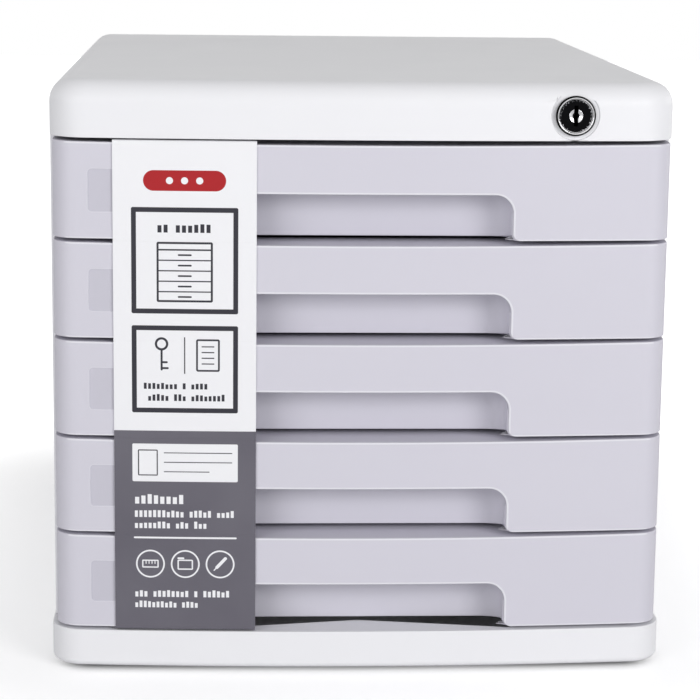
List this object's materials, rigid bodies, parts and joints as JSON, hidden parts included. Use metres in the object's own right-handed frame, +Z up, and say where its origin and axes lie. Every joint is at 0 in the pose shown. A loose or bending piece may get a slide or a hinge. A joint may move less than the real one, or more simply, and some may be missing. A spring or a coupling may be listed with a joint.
{
  "type": "desktop file drawer cabinet",
  "caption": "Desktop file cabinet with a bowed front, stacked sliding drawers with finger recesses, a card label and a key lock that holds every drawer.",
  "frame": {"origin": "middle of the footprint, on the surface that the feet stand on", "axes": "+X to the right seen from the front, +Y to the back, +Z up"},
  "size_m": [0.271, 0.361, 0.26],
  "materials": {
    "white_plastic": "satin moulded",
    "lilac_plastic": "satin moulded",
    "rubber": "matt",
    "steel": "zinc plated",
    "chrome": "polished",
    "lock_face": "black gloss",
    "card": "printed, satin"
  },
  "bodies": {
    "cabinet": {"base": "white_plastic", "top_cover": "white_plastic", "side_panel_left": "white_plastic", "side_panel_right": "white_plastic", "back_panel": "white_plastic", "foot_1": "rubber", "foot_2": "rubber", "foot_3": "rubber", "foot_4": "rubber", "cover_screw_1": "steel", "cover_screw_2": "steel", "cover_screw_3": "steel", "cover_screw_4": "steel", "base_screw_1": "steel", "base_screw_2": "steel", "base_screw_3": "steel", "base_screw_4": "steel", "lock_housing": "chrome", "lock_nut": "chrome", "lock_bar_pin_1": "steel", "lock_bar_pin_2": "steel"},
    "drawer_1": {"drawer_1_front": "lilac_plastic", "drawer_1_tray": "lilac_plastic", "drawer_1_screw_1": "steel", "drawer_1_screw_2": "steel", "drawer_1_card": "card"},
    "drawer_2": {"drawer_2_front": "lilac_plastic", "drawer_2_tray": "lilac_plastic", "drawer_2_screw_1": "steel", "drawer_2_screw_2": "steel", "drawer_2_card": "card"},
    "drawer_3": {"drawer_3_front": "lilac_plastic", "drawer_3_tray": "lilac_plastic", "drawer_3_screw_1": "steel", "drawer_3_screw_2": "steel", "drawer_3_card": "card"},
    "drawer_4": {"drawer_4_front": "lilac_plastic", "drawer_4_tray": "lilac_plastic", "drawer_4_screw_1": "steel", "drawer_4_screw_2": "steel", "drawer_4_card": "card"},
    "drawer_5": {"drawer_5_front": "lilac_plastic", "drawer_5_tray": "lilac_plastic", "drawer_5_screw_1": "steel", "drawer_5_screw_2": "steel", "drawer_5_card": "card"},
    "key_plug": {"lock_plug": "lock_face", "lock_cam": "steel"},
    "lock_bar": {"lock_bar": "steel"}
  },
  "joints": [
    {"name": "drawer_1_slide", "type": "slide", "parent": "cabinet", "child": "drawer_1", "axis": [0, -1, 0], "range_m": [0, 0.2817]},
    {"name": "drawer_2_slide", "type": "slide", "parent": "cabinet", "child": "drawer_2", "axis": [0, -1, 0], "range_m": [0, 0.2817]},
    {"name": "drawer_3_slide", "type": "slide", "parent": "cabinet", "child": "drawer_3", "axis": [0, -1, 0], "range_m": [0, 0.2817]},
    {"name": "drawer_4_slide", "type": "slide", "parent": "cabinet", "child": "drawer_4", "axis": [0, -1, 0], "range_m": [0, 0.2817]},
    {"name": "drawer_5_slide", "type": "slide", "parent": "cabinet", "child": "drawer_5", "axis": [0, -1, 0], "range_m": [0, 0.2817]},
    {"name": "key_turn", "type": "hinge", "parent": "cabinet", "child": "key_plug", "pos_m": [0.0897, -0.165, 0.2463], "axis": [0, 1, 0], "range_deg": [0, 90]},
    {"name": "lock_bar_lift", "type": "slide", "parent": "cabinet", "child": "lock_bar", "axis": [0, 0, 1], "range_m": [0, 0.00848]}
  ],
  "couplings": [
    {"joint": "key_turn", "follows": "lock_bar_lift", "rad_per_m": 185.12}
  ]
}
